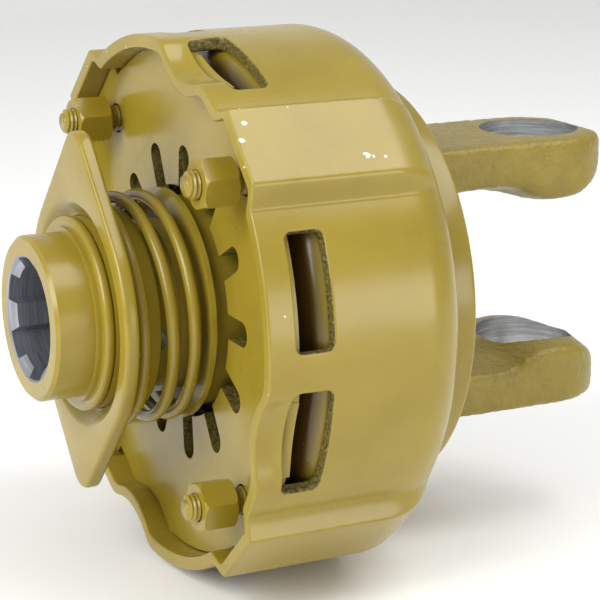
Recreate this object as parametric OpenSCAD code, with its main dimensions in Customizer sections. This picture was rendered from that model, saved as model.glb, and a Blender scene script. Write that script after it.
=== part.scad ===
// Friction torque limiter for a farm drive shaft. The axis is +X, the hub's nose face is at x = 0.
// Clock angles are counted about +X from +Y towards +Z.

/* [Splined hub] */
// Radius to the bottom of the spline grooves
spline_major_r = 17.46; // [17:0.1:18]
// Radius to the top of the spline lands
spline_minor_r = 14.83; // [14:0.1:15.5]
// Width of a spline groove
spline_groove_w = 8.7; // [8:0.1:9.5]
// Length of the splined bore
spline_len = 80; // [60:1:84]
// Radius of the hub's nose
nose_r = 23.5; // [22.5:0.1:24.5]
// Radius of the hub's shoulder inside the disc spring
shoulder_r = 30.5; // [29:0.1:31.5]
// Tip radius of the teeth that drive the inner discs
tooth_tip_r = 36.8; // [35.5:0.1:38]
// Number of driving teeth
tooth_count = 12; // [8:1:16]
// Radius of the rear spigot that runs in the bush
spigot_r = 24; // [23:0.1:25]

/* [Quick lock] */
// Plane of the pull collar's front face
collar_front_x = 14.5; // [14:0.1:15]
// Thickness of the pull collar's plate
collar_t = 4.2; // [3:0.1:5]
// Radius of the pull collar's round middle
collar_r = 37.5; // [36:0.5:40]
// Reach of the pull collar's finger tips above and below the axis
collar_reach = 52; // [48:0.5:54]
// Radius of the finger tips
collar_tip_r = 7.5; // [5:0.5:10]
// Travel of the pull collar towards the housing
collar_travel = 6.5; // [5:0.1:7]
// Radius of a lock ball
ball_r = 4; // [3:0.1:4.2]
// Rise of the lock sleeve's cone for each millimetre of travel
cone_slope = 0.33; // [0.3:0.01:0.36]

/* [Collar spring] */
// Wire diameter of the collar spring
wire_d = 3.5; // [2.5:0.1:3.8]
// Radial room between the pull collar's cup and the collar spring
coil_gap = 0.65; // [0.4:0.05:0.9]
// Turns of the collar spring
coil_turns = 4; // [3:1:5]

/* [Housing] */
// Outer radius of the housing
housing_r = 78.1; // [77:0.1:80]
// Wall of the pressed housing
housing_wall = 4; // [3:0.1:4.5]
// Plane of the housing's mouth
mouth_x = 38; // [36:0.5:39]
// Outer plane of the housing's rear wall
housing_rear_x = 103.7; // [103:0.1:106]
// Outer radius of the rear corner
corner_r = 17.3; // [15:0.1:19]
// Distance of a flat channel's outside from the axis
channel_flat = 81.5; // [81:0.1:83]
// Half width of a channel, outside
channel_half_w = 15; // [14:0.5:17]
// Length of the strip between the mouth and the windows
strip_len = 8; // [6:0.5:8.5]
// Length of a window along the axis
window_len = 11; // [8:0.5:13]
// Width of a window round the housing
window_w = 32; // [24:0.5:34]

/* [Discs and studs] */
// Thickness of the slotted disc spring
disc_spring_t = 3.8; // [3:0.1:4]
// Number of radial slots in the disc spring
slot_count = 13; // [9:1:15]
// Width of a radial slot
slot_w = 7; // [5:0.1:8]
// Radius to the round ends of the slots
slot_end_r = 46.5; // [44:0.5:48]
// Distance of the studs from the housing's inside
stud_inset = 10; // [9.5:0.1:11]
// Clock angle of the first stud
stud_clock = 46.7; // [40:0.1:50]
// Diameter of a stud
stud_d = 8; // [7:0.5:9]
// Plane of the stud tips
stud_tip_x = 28; // [26:0.5:30]
// Width across flats of a nut
nut_af = 14; // [13:0.5:15]
// Length of a nut
nut_len = 10; // [8:0.5:10.5]
// Thickness of the pressure plate
pressure_t = 10; // [8:0.1:11]
// Thickness of a friction disc
friction_t = 3.5; // [3:0.1:4]
// Thickness of a driver disc
driver_t = 4.5; // [4:0.1:5]
// Thickness of the intermediate disc
intermediate_t = 5; // [4:0.1:5.5]
// Room between a friction disc's rim and the housing's inside
friction_gap = 4.1; // [3.5:0.1:7]

/* [Flange yoke] */
// Radius of the yoke's flange
flange_r = 60.3; // [56:0.1:60.6]
// Thickness of the yoke's flange
flange_t = 6.4; // [5:0.1:8]
// Plane of the cross bore's axis
cross_x = 163.2; // [155:0.1:170]
// Radius of the cross bore
cross_r = 15.1; // [13:0.1:15.5]
// Distance of an ear's outer face from the axis
ear_z = 42; // [40:0.5:44]
// Half the gap between the ears at their tips
ear_gap_z = 22.5; // [20:0.5:24]
// Radius of an ear's round end
ear_r = 22.3; // [21:0.1:24]

/* [Hidden] */
$fn = 96;
eps = 0.01;
// Radial clearance of a running fit
run_fit = 0.06;
// Clearance between pieces that pass each other
pass_gap = 0.3;
// Flat clearance between a turning disc and the next one
disc_gap = 0.1;
// Colours of paint, bare steel and friction lining
paint = [0.68, 0.60, 0.28];
bare_steel = [0.55, 0.55, 0.54];
lining = [0.30, 0.27, 0.22];
// Quick lock stations along the axis
snap_x = 11.2;
snap_t = 1.3;
snap_groove = 1;
snap_r = nose_r + 1.5;
stop_x = snap_x + snap_t;
stop_t = 3;
stop_r = nose_r + 4.3;
stop_edge_r = 1.3;
sleeve_x = stop_x + stop_t + 0.05;
sleeve_r = nose_r + 3.9;
cup_wall = 1.9;
cup_r = sleeve_r + cup_wall;
cup_end_x = 28.3;
coil_r = cup_r + coil_gap + wire_d / 2;
funnel_r = stop_r + 4.2;
land_r = nose_r + run_fit;
ball_x = 22.5;
land_x = ball_x + 0.5;
ball_rest_r = land_r - ball_r - 0.16;
ball_hole_r = ball_r + 0.1;
ball_clocks = [80, 200, 320];
spline_clock = 20;
cross_hole_x = 28.8;
cross_hole_clock = 190;
cross_hole_r = 4;
collar_rear_x = collar_front_x + collar_t;
// Hub stations along the axis
journal_r = nose_r + 1.5;
journal_x = cup_end_x + collar_travel + 1.2;
seat_t = 1.5;
shoulder_x = 43;
tooth_root_r = tooth_tip_r - 3.3;
tooth_w = tooth_tip_r * 0.22;
tooth_fit = 0.15;
hub_chamfer = 1;
spring_x0 = collar_rear_x + pass_gap + wire_d / 2;
spring_x1 = shoulder_x - seat_t - wire_d / 2;
// Disc stack stations along the axis
strip_end_x = mouth_x + strip_len;
spring_front_x = strip_end_x + 0.2;
spring_rear_x = spring_front_x + disc_spring_t;
ridge_h = 2;
pressure_x = spring_rear_x + ridge_h;
friction_1_x = pressure_x + pressure_t;
driver_1_x = friction_1_x + friction_t + disc_gap;
friction_2_x = driver_1_x + driver_t + disc_gap;
intermediate_x = friction_2_x + friction_t;
friction_3_x = intermediate_x + intermediate_t;
driver_2_x = friction_3_x + friction_t + disc_gap;
friction_4_x = driver_2_x + driver_t + disc_gap;
backing_x = friction_4_x + friction_t;
tooth_x = friction_1_x + pass_gap;
tooth_end_x = driver_2_x + driver_t + 1.2;
// Housing radii and planes
inner_r = housing_r - housing_wall;
inner_flat = channel_flat - housing_wall;
inner_half_w = channel_half_w - housing_wall;
corner_x = housing_rear_x - corner_r;
corner_centre_r = housing_r - corner_r;
rear_inner_x = housing_rear_x - housing_wall;
outer_root_r = inner_r + 0.25 * housing_wall;
inner_root_r = inner_r - 0.5 * housing_wall;
channel_slope_x = corner_x - 5;
channel_end_x = corner_x + 2;
channel_fade = 10;
channel_fade_x = corner_x + channel_fade;
dent_angle = 59.5;
dent_r = 20;
dent_depth = 6.8;
dent_centre_r = housing_r + dent_r - dent_depth;
window_corner_r = 2;
window_angles = [29, 61];
rear_hole_r = 32;
// Disc radii
disc_fit = 0.8;
plate_r = inner_r - disc_fit;
lug_flat = inner_flat - 0.5;
lug_half_w = inner_half_w - 0.5;
lobe_r = plate_r + 3;
lobe_half_angle = 9;
disc_bore_r = shoulder_r + 3.2;
slot_lead_clock = -5.7;
friction_bore_r = tooth_tip_r + 5.7;
friction_r = inner_r - friction_gap;
driver_r = friction_r - 0.5;
// Studs and nuts
stud_circle_r = inner_r - stud_inset;
stud_hole_d = stud_d + 0.8;
nut_gap = 4;
ridge_half_w = 1.5;
ridge_inset = 3.6;
ridge_r = stud_circle_r - stud_d / 2 - ridge_inset;
// Yoke and bush
bush_t = 3;
bush_r = spigot_r + run_fit + bush_t;
bush_len = 8.3;
spigot_run = 6.3;
spigot_end_x = rear_inner_x + spigot_run;
flange_end_x = housing_rear_x + flange_t;
neck_half_z = 34;
neck_len = 8;
saddle_depth = 16;
saddle_x = flange_end_x + saddle_depth;
saddle_r = 16;
ear_tip_round = 5;

// Turns a shape built on Z so that it lies on +X, starting at plane x
module on_axis(x = 0) {
    translate([x, 0, 0]) rotate([0, 90, 0]) children();
}

// Turns a flat or solid shape from local +X to a clock angle, inside on_axis
module clock(angle) {
    rotate(angle + 90) children();
}

// Ring of revolution from plane x, with its outer edges broken by an equal chamfer
module ring(x, length, bore, radius, chamfer = 0) {
    on_axis(x) rotate_extrude() polygon([
        [bore, 0], [radius - chamfer, 0], [radius, chamfer],
        [radius, length - chamfer], [radius - chamfer, length], [bore, length]
    ]);
}

module rounded_rectangle(w, h, r) {
    square([w - 2 * r, h], center = true);
    square([w, h - 2 * r], center = true);
    for (sx = [-1, 1], sy = [-1, 1]) translate([sx * (w / 2 - r), sy * (h / 2 - r)]) circle(r);
}

// Radial hole from the axis outwards, at plane x and a clock angle
module radial_hole(x, angle, r, from_r, to_r) {
    on_axis(x) clock(angle) translate([from_r, 0, 0]) rotate([0, 90, 0]) cylinder(r = r, h = to_r - from_r);
}

// Round disc with a lug for each housing channel
module lugged_disc(radius) {
    circle(radius);
    for (k = [0:3]) clock(stud_clock + 90 * k) translate([0, -lug_half_w]) square([lug_flat, 2 * lug_half_w]);
}

// Teeth on a root circle, grown by a clearance
module toothed_profile(clearance) {
    circle(tooth_root_r + clearance);
    intersection() {
        circle(tooth_tip_r + clearance);
        for (k = [0:tooth_count - 1]) rotate(k * 360 / tooth_count)
            translate([0, -tooth_w / 2 - clearance]) square([tooth_tip_r * 2, tooth_w + 2 * clearance]);
    }
}

module hub_body() {
    on_axis() rotate_extrude() polygon([
        [0, 0], [nose_r - hub_chamfer, 0], [nose_r, hub_chamfer], [nose_r, snap_x], [nose_r - snap_groove, snap_x],
        [nose_r - snap_groove, stop_x], [nose_r, stop_x], [nose_r, journal_x], [journal_r, journal_x],
        [journal_r, shoulder_x], [shoulder_r, shoulder_x], [shoulder_r, tooth_x], [spigot_r, tooth_x],
        [spigot_r, spigot_end_x - hub_chamfer], [spigot_r - hub_chamfer, spigot_end_x], [0, spigot_end_x]
    ]);
    on_axis(tooth_x) linear_extrude(tooth_end_x - tooth_x) toothed_profile(0);
}

module spline_bore() {
    on_axis(-eps) linear_extrude(spline_len + eps) {
        circle(spline_minor_r);
        intersection() {
            circle(spline_major_r);
            for (k = [0:5]) clock(spline_clock + 60 * k)
                translate([0, -spline_groove_w / 2]) square([spline_major_r * 2, spline_groove_w]);
        }
    }
    on_axis(-eps) cylinder(r1 = spline_major_r + 0.6, r2 = spline_minor_r - 0.6, h = 2.4);
    on_axis(spline_len - eps) cylinder(r = spline_major_r + 0.6, h = spigot_end_x - spline_len + 1);
}

module hub() {
    color(paint) difference() {
        hub_body();
        spline_bore();
        for (a = ball_clocks) radial_hole(ball_x, a, ball_hole_r, spline_minor_r - 2, nose_r + 1);
        radial_hole(cross_hole_x, cross_hole_clock, cross_hole_r, spline_minor_r - 2, nose_r + 1);
    }
}

module snap_ring() {
    snap_gap = 5;
    color(bare_steel) difference() {
        ring(snap_x, snap_t, nose_r - snap_groove, snap_r);
        on_axis(snap_x - eps) clock(20) translate([0, -snap_gap / 2, 0])
            cube([snap_r + 1, snap_gap, snap_t + 2 * eps]);
    }
}

module stop_ring() {
    color(paint) on_axis(stop_x) rotate_extrude() {
        translate([nose_r, 0]) square([stop_r - stop_edge_r - nose_r, stop_t]);
        translate([nose_r, stop_edge_r]) square([stop_r - nose_r, stop_t - 2 * stop_edge_r]);
        translate([stop_r - stop_edge_r, stop_edge_r]) circle(stop_edge_r);
        translate([stop_r - stop_edge_r, stop_t - stop_edge_r]) circle(stop_edge_r);
    }
}

// Height of the wire along the spring: the end turns lie closer than the middle ones
function coil_x(u) = spring_x0 + (spring_x1 - spring_x0) * (0.55 * u + 0.45 * u * u * (3 - 2 * u));

module coil_spring() {
    steps = 26 * coil_turns;
    sides = 10;
    wire_r = wire_d / 2;
    start = 60;
    points = [for (i = [0:steps], j = [0:sides - 1])
        let (u = i / steps, a = start + 360 * coil_turns * u, b = 360 * j / sides, r = coil_r + wire_r * cos(b))
        [coil_x(u) + wire_r * sin(b), r * cos(a), r * sin(a)]];
    walls = [for (i = [0:steps - 1], j = [0:sides - 1])
        let (k = (j + 1) % sides)
        [i * sides + j, i * sides + k, (i + 1) * sides + k, (i + 1) * sides + j]];
    front = [for (j = [sides - 1:-1:0]) j];
    rear = [for (j = [0:sides - 1]) steps * sides + j];
    color(paint) polyhedron(points, concat(walls, [front], [rear]), convexity = 8);
}

module spring_seat() {
    color(paint) ring(shoulder_x - seat_t, seat_t, journal_r, coil_r + wire_d / 2);
}

module driver_disc(x) {
    color(bare_steel) on_axis(x) linear_extrude(driver_t) difference() {
        circle(driver_r);
        toothed_profile(tooth_fit);
    }
}

module friction_disc(x) {
    color(lining) ring(x, friction_t, friction_bore_r, friction_r);
}

// Four blocks along the axis, flat outside, with their rear ends sloped down to a root radius
module channel_blocks(flat, half_w, root_r, from_x, slope_x, end_x) {
    for (k = [0:3]) on_axis() clock(stud_clock + 90 * k) rotate([90, 0, 0])
        translate([0, 0, -half_w]) linear_extrude(2 * half_w)
            polygon([[root_r, from_x], [flat, from_x], [flat, slope_x], [root_r, end_x]]);
}

// Round dents pressed into the strip at the mouth
module dents(r) {
    for (k = [0:3]) on_axis(mouth_x - 2) clock(stud_clock + dent_angle + 90 * k)
        translate([dent_centre_r, 0, 0]) cylinder(r = r, h = strip_len + 2);
}

// Revolved pot with its rounded rear corner, shrunk by a wall
module pot_solid(wall, from_x) {
    on_axis() rotate_extrude() {
        translate([0, from_x]) square([housing_r - wall, corner_x - from_x]);
        translate([0, from_x]) square([corner_centre_r, housing_rear_x - wall - from_x]);
        translate([corner_centre_r, corner_x]) circle(corner_r - wall);
    }
}

module housing_inside() {
    difference() {
        union() {
            pot_solid(housing_wall, mouth_x - 1);
            channel_blocks(inner_flat, inner_half_w, inner_root_r, mouth_x - 1, channel_slope_x - 1, channel_end_x);
        }
        dents(dent_r + housing_wall);
    }
}

module housing_windows() {
    for (k = [0:3], a = window_angles)
        on_axis(strip_end_x + window_len / 2) clock(stud_clock + a + 90 * k) translate([inner_r - 8, 0, 0])
            rotate([0, 90, 0]) linear_extrude(housing_wall + 16)
                rounded_rectangle(window_len, window_w, window_corner_r);
}

module housing() {
    color(paint) difference() {
        union() {
            pot_solid(0, mouth_x);
            channel_blocks(channel_flat, channel_half_w, outer_root_r, mouth_x, channel_slope_x, channel_fade_x);
        }
        dents(dent_r);
        housing_inside();
        housing_windows();
        on_axis(rear_inner_x - 1) cylinder(r = rear_hole_r, h = housing_wall + 2);
    }
}

module yoke_plan() {
    translate([housing_rear_x, -ear_r]) square([cross_x - housing_rear_x, 2 * ear_r]);
    translate([cross_x, 0]) circle(ear_r);
}

module yoke_side() {
    tip_x = cross_x + ear_r;
    difference() {
        union() {
            polygon([
                [housing_rear_x, -neck_half_z], [flange_end_x + neck_len, -ear_z], [tip_x - ear_tip_round, -ear_z],
                [tip_x, -ear_z + ear_tip_round], [tip_x, ear_z - ear_tip_round], [tip_x - ear_tip_round, ear_z],
                [flange_end_x + neck_len, ear_z], [housing_rear_x, neck_half_z]
            ]);
            for (s = [-1, 1]) translate([tip_x - ear_tip_round, s * (ear_z - ear_tip_round)]) circle(ear_tip_round);
        }
        translate([saddle_x + saddle_r, 0]) circle(saddle_r);
        polygon([
            [saddle_x + saddle_r, -saddle_r], [cross_x, 1 - ear_gap_z], [tip_x + 1, -ear_gap_z],
            [tip_x + 1, ear_gap_z], [cross_x, ear_gap_z - 1], [saddle_x + saddle_r, saddle_r]
        ]);
    }
}

module flange_yoke() {
    color(paint) difference() {
        union() {
            ring(housing_rear_x, flange_t, 0, flange_r, 1.2);
            on_axis(rear_inner_x) cylinder(r = rear_hole_r, h = housing_wall + eps);
            intersection() {
                translate([0, 0, -ear_z - 1]) linear_extrude(2 * ear_z + 2) yoke_plan();
                rotate([90, 0, 0]) translate([0, 0, -ear_r - 1]) linear_extrude(2 * ear_r + 2) yoke_side();
            }
        }
        on_axis(rear_inner_x - 1) cylinder(r = bush_r, h = bush_len + 1);
        on_axis(rear_inner_x) cylinder(r = spigot_r - 4, h = bush_len + 4);
        translate([cross_x, 0, -ear_z - 1]) cylinder(r = cross_r, h = 2 * ear_z + 2);
    }
}

module hub_bush() {
    color("peru") ring(rear_inner_x, bush_len, spigot_r + run_fit, bush_r);
}

module disc_spring_outline() {
    lugged_disc(plate_r);
    for (k = [0:3]) clock(stud_clock + window_angles[1] + 90 * k) intersection() {
        circle(lobe_r);
        polygon([[0, 0], [2 * lobe_r, -2 * lobe_r * tan(lobe_half_angle)],
            [2 * lobe_r, 2 * lobe_r * tan(lobe_half_angle)]]);
    }
}

module disc_spring() {
    color(paint) on_axis(spring_front_x) linear_extrude(disc_spring_t) difference() {
        disc_spring_outline();
        circle(disc_bore_r);
        for (k = [0:slot_count - 1]) clock(stud_clock + slot_lead_clock + 360 * k / slot_count) {
            translate([0, -slot_w / 2]) square([slot_end_r - slot_w / 2, slot_w]);
            translate([slot_end_r - slot_w / 2, 0]) circle(d = slot_w);
        }
        for (k = [0:3]) clock(stud_clock + 90 * k) translate([stud_circle_r, 0]) circle(d = stud_hole_d);
    }
}

module pressure_plate() {
    color(paint) {
        difference() {
            on_axis(pressure_x) linear_extrude(pressure_t) difference() {
                lugged_disc(plate_r);
                circle(disc_bore_r);
            }
            for (k = [0:3]) on_axis(pressure_x - 1) clock(stud_clock + 90 * k)
                translate([stud_circle_r, 0, 0]) cylinder(d = stud_d, h = pressure_t - 1);
        }
        ring(spring_rear_x, ridge_h + eps, ridge_r - ridge_half_w, ridge_r + ridge_half_w);
    }
}

module intermediate_disc() {
    color(bare_steel) on_axis(intermediate_x) linear_extrude(intermediate_t) difference() {
        lugged_disc(plate_r);
        circle(friction_bore_r);
    }
}

module backing_plate() {
    edge = 5.7;
    rim_r = corner_centre_r + edge - 0.5;
    color(bare_steel) on_axis(backing_x) rotate_extrude() polygon([
        [rear_hole_r + 6, 0], [rim_r, 0], [rim_r, rear_inner_x - backing_x - edge],
        [rim_r - edge, rear_inner_x - backing_x], [rear_hole_r + 6, rear_inner_x - backing_x]
    ]);
}

module stud(k) {
    tip = 1;
    color(paint) on_axis(stud_tip_x) clock(stud_clock + 90 * k) translate([stud_circle_r, 0, 0]) {
        cylinder(d1 = stud_d - 2 * tip, d2 = stud_d, h = tip);
        translate([0, 0, tip - eps]) cylinder(d = stud_d, h = pressure_x + pressure_t - 2 - stud_tip_x - tip + eps);
    }
}

module nut(k) {
    corner_r = nut_af / sqrt(3);
    bevel = 0.9;
    nut_x = spring_front_x - nut_gap - nut_len;
    color(paint) on_axis(nut_x) clock(stud_clock + 90 * k) translate([stud_circle_r, 0, 0])
        rotate(-stud_clock - 90 * k) difference() {
            intersection() {
                cylinder(r = corner_r, h = nut_len, $fn = 6);
                rotate_extrude($fn = 96) polygon([
                    [0, 0], [corner_r - bevel, 0], [corner_r + eps, bevel],
                    [corner_r + eps, nut_len - bevel], [corner_r - bevel, nut_len], [0, nut_len]
                ]);
            }
            translate([0, 0, -1]) cylinder(d = stud_d + 2 * run_fit, h = nut_len + 2);
        }
}

module collar_outline() {
    hull() {
        circle(collar_r);
        for (s = [-1, 1]) translate([s * (collar_reach - collar_tip_r), 0]) circle(collar_tip_r, $fn = 48);
    }
}

module pull_collar() {
    color(paint) difference() {
        union() {
            on_axis(collar_front_x) linear_extrude(collar_t) collar_outline();
            on_axis(collar_front_x) cylinder(r = cup_r, h = cup_end_x - collar_front_x);
        }
        on_axis(collar_front_x - eps) cylinder(r1 = funnel_r, r2 = sleeve_r, h = collar_t);
        on_axis(collar_front_x - 1) cylinder(r = sleeve_r, h = cup_end_x - collar_front_x + 2);
    }
}

module lock_sleeve() {
    cone_h = land_x - sleeve_x;
    color(bare_steel) on_axis(sleeve_x) rotate_extrude() polygon([
        [land_r + cone_slope * cone_h, 0], [sleeve_r, 0], [sleeve_r, cup_end_x - sleeve_x],
        [land_r, cup_end_x - sleeve_x], [land_r, cone_h]
    ]);
}

module lock_ball(angle) {
    color(bare_steel) on_axis(ball_x) clock(angle) translate([ball_rest_r, 0, 0]) sphere(ball_r);
}

hub();
snap_ring();
stop_ring();
coil_spring();
spring_seat();
driver_disc(driver_1_x);  // driver_disc_front
driver_disc(driver_2_x);  // driver_disc_rear
housing();
flange_yoke();
hub_bush();
disc_spring();
pressure_plate();
intermediate_disc();
backing_plate();
stud(0);  // stud_1
stud(1);  // stud_2
stud(2);  // stud_3
stud(3);  // stud_4
friction_disc(friction_1_x);  // friction_disc_1
friction_disc(friction_2_x);  // friction_disc_2
friction_disc(friction_3_x);  // friction_disc_3
friction_disc(friction_4_x);  // friction_disc_4
pull_collar();
lock_sleeve();
lock_ball(ball_clocks[0]);  // lock_ball_1
lock_ball(ball_clocks[1]);  // lock_ball_2
lock_ball(ball_clocks[2]);  // lock_ball_3
nut(0);  // nut_1
nut(1);  // nut_2
nut(2);  // nut_3
nut(3);  // nut_4
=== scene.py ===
"""Looks of a friction torque limiter: pressed pot, splined quick-lock hub, collar spring and forged yoke."""

import math

import bmesh
import bpy
import numpy as np
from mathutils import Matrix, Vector


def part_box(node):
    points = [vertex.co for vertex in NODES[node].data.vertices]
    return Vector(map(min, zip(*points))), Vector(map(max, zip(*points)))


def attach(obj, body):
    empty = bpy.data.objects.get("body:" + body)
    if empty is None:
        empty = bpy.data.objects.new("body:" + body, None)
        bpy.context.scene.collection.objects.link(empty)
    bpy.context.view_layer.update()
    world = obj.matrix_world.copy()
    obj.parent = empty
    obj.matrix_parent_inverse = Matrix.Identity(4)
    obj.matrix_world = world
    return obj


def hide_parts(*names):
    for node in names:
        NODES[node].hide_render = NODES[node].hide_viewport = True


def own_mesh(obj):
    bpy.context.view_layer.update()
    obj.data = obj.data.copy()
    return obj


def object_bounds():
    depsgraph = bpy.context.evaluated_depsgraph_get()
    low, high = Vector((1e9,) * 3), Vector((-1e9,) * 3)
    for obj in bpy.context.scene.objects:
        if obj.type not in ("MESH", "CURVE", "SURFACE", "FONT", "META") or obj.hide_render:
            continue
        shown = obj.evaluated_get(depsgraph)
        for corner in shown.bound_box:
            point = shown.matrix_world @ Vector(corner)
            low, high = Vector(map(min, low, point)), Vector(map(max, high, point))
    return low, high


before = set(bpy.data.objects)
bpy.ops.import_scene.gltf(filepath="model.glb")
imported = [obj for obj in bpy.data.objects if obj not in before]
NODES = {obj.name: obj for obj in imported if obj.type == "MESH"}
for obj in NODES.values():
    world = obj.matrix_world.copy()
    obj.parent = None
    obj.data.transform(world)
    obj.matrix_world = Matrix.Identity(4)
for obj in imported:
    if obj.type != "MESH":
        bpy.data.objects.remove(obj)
cad_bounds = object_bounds()

MM = 0.001

# Distances in metres within which vertices merge, and the bend in degrees below which faces join
MERGE_SURFACE = 1e-6
MERGE_COPY = 2e-6
FLAT_BEND = 0.5

# Radius in millimetres of the small ring that closes a turned face at its axis
AXIS_R = 0.05


def low_high(node):
    """A CAD node's lowest and highest corner in millimetres."""
    low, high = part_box(node)
    return np.array(low) / MM, np.array(high) / MM


# Pot housing, in millimetres and clock degrees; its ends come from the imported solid
HOUSING_LOW, HOUSING_HIGH = low_high("housing")
REAR_STEP = 3.7
MOUTH_X = HOUSING_LOW[0]
REAR_X = HOUSING_HIGH[0] - REAR_STEP
POT_R = 77.2
WALL = 4.0
CORNER_R = 14.0
CORNER_X = REAR_X - CORNER_R
REAR_HOLE_R = 32.0
SHEET_ROUND = 0.7
SHEET_SHARP = 50.0
EDGE_SHARP = 30.0
QUARTER = 90.0
STUD_CLOCK = 46.7

# Raised channels: height of the flat, clock angles of its edge, foot and grid bands, fade along the wall
CHANNEL_FLAT = 81.5
CHANNEL_EDGE = 8.0
CHANNEL_FOOT = 11.4
CHANNEL_BAND = (6.8, 13.5)
CHANNEL_SPAN = 20.0
CHANNEL_FADE = (-6.0, 15.0)
CRISP_POWER = 1.5
SOFT_SIDE = (CHANNEL_EDGE - 0.4, CHANNEL_FOOT + 1.0)

# Dents at the mouth: a circle pressed in from outside, its blend into the pot and its fade round the clock
DENT_R = 20.0
DENT_CENTRE_R = 91.3
DENT_CLOCK = -30.5
DENT_CLEAR = 6.0
DENT_BLEND = 6.0
DENT_SPAN = (17.0, 9.0)

# Windows, and where the dents fade beside them
WINDOW_FRONT = MOUTH_X + 8.0
WINDOW_LENGTH = 11.0
WINDOW_HALF_W = 16.0
WINDOW_CORNER = 2.2
WINDOW_BLEND = 3.0
WINDOW_CLOCKS = (-29.0, 29.0)
DENT_RUN = (WINDOW_FRONT - 3.5, WINDOW_FRONT + 8.0)

# Bare paint along the channels' crisp edge, above and below the axis, and along the mouth's rim
EDGE_RUB = (0.86, 0.72)
EDGE_RUB_SHIFT = 0.1
EDGE_RUB_REACH = 0.5
EDGE_RUB_RISE = 0.5
RIM_RUB = 0.74
RIM_RUB_REACH = 0.6

# Forged yoke: eyes, bosses under them by reach along the axis, neck, saddle, and the die's softening
CROSS_R = 15.1
EYE_REACH = CROSS_R + 0.1
EAR_R = 22.3
EAR_TIP_INSET = 0.7
EAR_Z = 41.5
EAR_CROWN = 11.5
BOSS_REACH = (-20.0, -15.0, -11.0, -6.0, -1.0, 4.0, 8.0, 12.0, 16.0, 19.0, 21.0)
BOSS_Z = (23.7, 22.8, 20.4, 18.8, 18.5, 18.8, 19.8, 21.8, 24.5, 27.5, 31.0)
OVER_TOP = 0.5
OVER_END = 1.0
OVER_DRILL = 8.0
TIP_RUN = 6.0
TIP_DROP = 7.0
NECK_Z = 35.0
NECK_RUN = 13.0
SADDLE_X = 121.0
SADDLE_Z = 23.7
SADDLE_ROUND = 8.0
ROOT_DEPTH = 5.0
FLANGE_T = 10.1
FLANGE_ROUND = 1.2
FLANGE_PLAY = 0.05
DIE_VOXEL = 0.8
DIE_RELAX = 50
GRAIN_SIZE = 1.6
GRAIN_DEPTH = 0.5
FORGED_SHARP = 40.0

# Disc spring and pressure plate: cone, play to the wall, reach into the dented windows, rounded rim
PLATE_R = 73.3
CONE_INNER_R = 36.0
CONE_RISE = 1.2
RIM_PLAY = 0.3
LOBE_HALF = 14.0
LOBE_REACH = 1.8
SLOT_REACH = 60.0
DISC_ROUND = 0.35
PRESSURE_T = 10.0
PLATE_ROUND = 8.5
PLATE_EDGE = 0.3
RIM_BAND = 0.3
FRONT_BAND = 0.1
# Painted shade on the pressure plate's rounded front: dark brown up to the first reach behind its front, gold
# from the second, in millimetres
PAINTED_SHADE_REACH = (1.5, 6.0)

# Collar
COLLAR_T = 4.2
COLLAR_TIP_R = 7.5
COLLAR_ROUND = 1.1
SLEEVE_R = 27.4
CUP_R = 29.3
CUP_FILLET = 1.6
CUP_CHAMFER = 0.4
FUNNEL_R = 33.0
FUNNEL_DEPTH = 3.6

# Collar spring: its rise towards the seat by share of its turns
WIRE_R = 1.75
COIL_R = 31.7
COIL_TURNS = 3
COIL_START = 60.0
COIL_TURN = (0.0, 0.11, 0.44, 0.67, 0.78, 1.0)
COIL_RISE = (0.0, 0.05, 0.52, 0.78, 0.87, 1.0)
COIL_AVERAGE = 41
WIRE_DOME = [0.02, 0.7, 0.93]

# Studs, nuts and hub
ROD_R = 4.0
THREAD_PITCH = 1.25
THREAD_DEPTH = 0.62
THREAD_POWER = 0.8
THREAD_RUN = 20.0
THREAD_FADE = 1.5
ROD_CHAMFER = (1.2, 1.0)
NUT_TURN = -16.0
NUT_FORWARD = 0.8
NUT_SLIM = 0.92
NUT_HEX_FROM = 5.5
NUT_ROUND = 0.3
HUB_ROUND = 0.5
SPLINE_REACH = 18.1

# Largest share of a face's normal along a hole's axis that still counts as the hole's wall
BORE_NORMAL = 0.95
SLOT_NORMAL = 0.3
EYE_NORMAL = 0.2


# Numpy surface helpers

def smooth(a, b, x):
    """Smoothstep: 0 at a, 1 at b, with level ends: t squared times (3 - 2t)."""
    t = np.clip((x - a) / (b - a), 0.0, 1.0)
    return t * t * (3.0 - 2.0 * t)


def grid_faces(rows, columns, wrap_rows=False, wrap_columns=False):
    """Quads of a rows by columns grid of vertices; a wrapped side joins its last line to its first."""
    i = np.arange(rows if wrap_rows else rows - 1)
    j = np.arange(columns if wrap_columns else columns - 1)
    i, j = (a.ravel() for a in np.meshgrid(i, j, indexing="ij"))
    i2 = (i + 1) % rows
    j2 = (j + 1) % columns
    return np.stack([i * columns + j, i * columns + j2, i2 * columns + j2, i2 * columns + j], axis=1)


def capped_faces(rows, sides):
    """Faces of a tube of rows rings with a flat cap on its first and last ring."""
    last = (rows - 1) * sides
    caps = [list(range(sides)), list(range(last, last + sides))]
    return grid_faces(rows, sides, wrap_columns=True).tolist() + caps


def quarter_clock(clock):
    """Clock angle folded into one quarter, in degrees from -45 to 45."""
    return (clock + QUARTER / 2) % QUARTER - QUARTER / 2


def channel_clock(points_mm):
    """Clock angle of each point from the middle of its nearest channel."""
    return quarter_clock(np.degrees(np.arctan2(points_mm[:, 2], points_mm[:, 1])) - STUD_CLOCK)


def banded(stops, counts):
    """Values from stop to stop in equal steps, one count for each band, the last stop left out."""
    return np.concatenate([np.linspace(a, b, n, endpoint=False) for a, b, n in zip(stops, stops[1:], counts)])


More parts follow.
